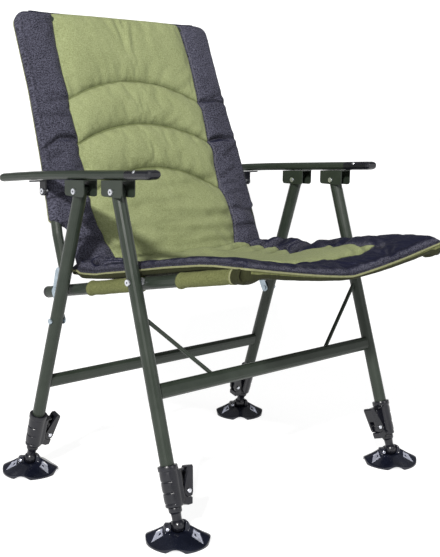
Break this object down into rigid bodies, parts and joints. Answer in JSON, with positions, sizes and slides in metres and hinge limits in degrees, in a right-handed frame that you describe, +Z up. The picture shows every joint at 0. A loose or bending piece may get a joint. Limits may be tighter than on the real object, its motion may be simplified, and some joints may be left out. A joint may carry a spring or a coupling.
{
  "type": "folding fishing armchair",
  "caption": "Folding outdoor armchair with a padded high back, padded sling seat, flat armrests, crossed tubular leg pairs, telescopic legs with cam levers and swivelling mud feet.",
  "frame": {"origin": "centre of the bounding box, on the ground under the feet", "axes": "+Z up, the sitter faces -Y, +X to the sitter's left"},
  "size_m": [0.684, 0.672, 0.8888],
  "materials": {
    "frame_paint": "satin dark green-grey powder coat",
    "black_plastic": "fine-grained black",
    "foot_plastic": "smooth glossy black",
    "zinc": "bright zinc plate",
    "rivet_steel": "plain bright steel",
    "green_fabric": "woven light olive green with dark grey side panels",
    "dark_fabric": "heathered dark grey with an olive centre panel",
    "olive_fabric": "plain woven olive"
  },
  "bodies": {
    "front_frame": {"front_leg_r": "frame_paint", "clamp_front_r": "black_plastic", "front_leg_l": "frame_paint", "clamp_front_l": "black_plastic", "front_crossbar": "frame_paint", "brace_rod_r": "frame_paint", "brace_rod_l": "frame_paint"},
    "lever_front_r": {"lever_front_r": "black_plastic"},
    "inner_leg_front_r": {"inner_leg_front_r": "black_plastic"},
    "mud_foot_front_r": {"mud_foot_front_r": "foot_plastic"},
    "lever_front_l": {"lever_front_l": "black_plastic"},
    "inner_leg_front_l": {"inner_leg_front_l": "black_plastic"},
    "mud_foot_front_l": {"mud_foot_front_l": "foot_plastic"},
    "rear_frame": {"rear_leg_r": "frame_paint", "clamp_rear_r": "black_plastic", "rear_leg_l": "frame_paint", "clamp_rear_l": "black_plastic", "rear_crossbar": "frame_paint"},
    "lever_rear_r": {"lever_rear_r": "black_plastic"},
    "inner_leg_rear_r": {"inner_leg_rear_r": "black_plastic"},
    "mud_foot_rear_r": {"mud_foot_rear_r": "foot_plastic"},
    "lever_rear_l": {"lever_rear_l": "black_plastic"},
    "inner_leg_rear_l": {"inner_leg_rear_l": "black_plastic"},
    "mud_foot_rear_l": {"mud_foot_rear_l": "foot_plastic"},
    "armrests": {"armrest_r": "frame_paint", "armrest_cover_r": "black_plastic", "front_bracket_r": "frame_paint", "front_pivot_r": "rivet_steel", "rear_bracket_r": "frame_paint", "rear_pivot_r": "rivet_steel", "back_bracket_r": "black_plastic", "back_pivot_r": "rivet_steel", "armrest_l": "frame_paint", "armrest_cover_l": "black_plastic", "front_bracket_l": "frame_paint", "front_pivot_l": "rivet_steel", "rear_bracket_l": "frame_paint", "rear_pivot_l": "rivet_steel", "back_bracket_l": "black_plastic", "back_pivot_l": "rivet_steel"},
    "seat": {"seat_tube_r": "frame_paint", "seat_plug_front_r": "black_plastic", "seat_plug_rear_r": "black_plastic", "seat_loop_rear_r": "olive_fabric", "seat_loop_front_r": "olive_fabric", "seat_bolt_r": "rivet_steel", "hinge_plate_r": "zinc", "seat_tube_l": "frame_paint", "seat_plug_front_l": "black_plastic", "seat_plug_rear_l": "black_plastic", "seat_loop_rear_l": "olive_fabric", "seat_loop_front_l": "olive_fabric", "seat_bolt_l": "rivet_steel", "hinge_plate_l": "zinc", "seat_pad": "dark_fabric"},
    "links": {"rear_link_r": "zinc", "rear_link_l": "zinc"},
    "backrest": {"back_frame": "frame_paint", "back_pad": "green_fabric"}
  },
  "joints": [
    {"name": "fold", "type": "hinge", "parent": "front_frame", "child": "armrests", "pos_m": [0, -0.04146, 0.5655], "axis": [-1, 0, 0], "range_deg": [0, 80]},
    {"name": "seat_fold", "type": "hinge", "parent": "front_frame", "child": "seat", "pos_m": [0, -0.08716, 0.418], "axis": [-1, 0, 0], "range_deg": [0, 80]},
    {"name": "back_fold", "type": "hinge", "parent": "seat", "child": "backrest", "pos_m": [0, 0.15504, 0.402], "axis": [-1, 0, 0], "range_deg": [-80, 0]},
    {"name": "rear_leg_fold", "type": "hinge", "parent": "armrests", "child": "rear_frame", "pos_m": [0, 0.06404, 0.5595], "axis": [-1, 0, 0], "range_deg": [-53.95, 0]},
    {"name": "link_fold", "type": "hinge", "parent": "rear_frame", "child": "links", "pos_m": [0, 0.13934, 0.315], "axis": [-1, 0, 0], "range_deg": [0, 156.55]},
    {"name": "extend_front_r", "type": "slide", "parent": "front_frame", "child": "inner_leg_front_r", "axis": [-0.0096, -0.2956, -0.9552], "range_m": [0, 0.1]},
    {"name": "foot_tilt_front_r", "type": "hinge", "parent": "inner_leg_front_r", "child": "mud_foot_front_r", "pos_m": [-0.28902, -0.20813, 0.027], "axis": [-1, 0, 0], "range_deg": [-12, 45]},
    {"name": "lever_front_r_open", "type": "hinge", "parent": "front_frame", "child": "lever_front_r", "pos_m": [-0.25953, -0.19313, 0.07545], "axis": [0, 0.9553, -0.2957], "range_deg": [0, 90]},
    {"name": "extend_front_l", "type": "slide", "parent": "front_frame", "child": "inner_leg_front_l", "axis": [0.0096, -0.2956, -0.9552], "range_m": [0, 0.1]},
    {"name": "foot_tilt_front_l", "type": "hinge", "parent": "inner_leg_front_l", "child": "mud_foot_front_l", "pos_m": [0.28902, -0.20813, 0.027], "axis": [-1, 0, 0], "range_deg": [-12, 45]},
    {"name": "lever_front_l_open", "type": "hinge", "parent": "front_frame", "child": "lever_front_l", "pos_m": [0.25953, -0.19313, 0.07545], "axis": [0, -0.9553, 0.2957], "range_deg": [0, 90]},
    {"name": "extend_rear_r", "type": "slide", "parent": "rear_frame", "child": "inner_leg_rear_r", "axis": [-0.0096, 0.2944, -0.9556], "range_m": [0, 0.1]},
    {"name": "foot_tilt_rear_r", "type": "hinge", "parent": "inner_leg_rear_r", "child": "mud_foot_rear_r", "pos_m": [-0.28896, 0.2281, 0.027], "axis": [1, 0, 0], "range_deg": [-12, 45]},
    {"name": "lever_rear_r_open", "type": "hinge", "parent": "rear_frame", "child": "lever_rear_r", "pos_m": [-0.25947, 0.21317, 0.07547], "axis": [0, 0.9557, 0.2944], "range_deg": [0, 90]},
    {"name": "extend_rear_l", "type": "slide", "parent": "rear_frame", "child": "inner_leg_rear_l", "axis": [0.0096, 0.2944, -0.9556], "range_m": [0, 0.1]},
    {"name": "foot_tilt_rear_l", "type": "hinge", "parent": "inner_leg_rear_l", "child": "mud_foot_rear_l", "pos_m": [0.28896, 0.2281, 0.027], "axis": [1, 0, 0], "range_deg": [-12, 45]},
    {"name": "lever_rear_l_open", "type": "hinge", "parent": "rear_frame", "child": "lever_rear_l", "pos_m": [0.25947, 0.21317, 0.07547], "axis": [0, -0.9557, -0.2944], "range_deg": [0, 90]}
  ],
  "couplings": [
    {"joint": "seat_fold", "follows": "fold", "ratio": 1},
    {"joint": "back_fold", "follows": "fold", "ratio": -1},
    {"joint": "rear_leg_fold", "follows": "fold", "ratio": -0.67437},
    {"joint": "link_fold", "follows": "fold", "ratio": 1.9569}
  ]
}
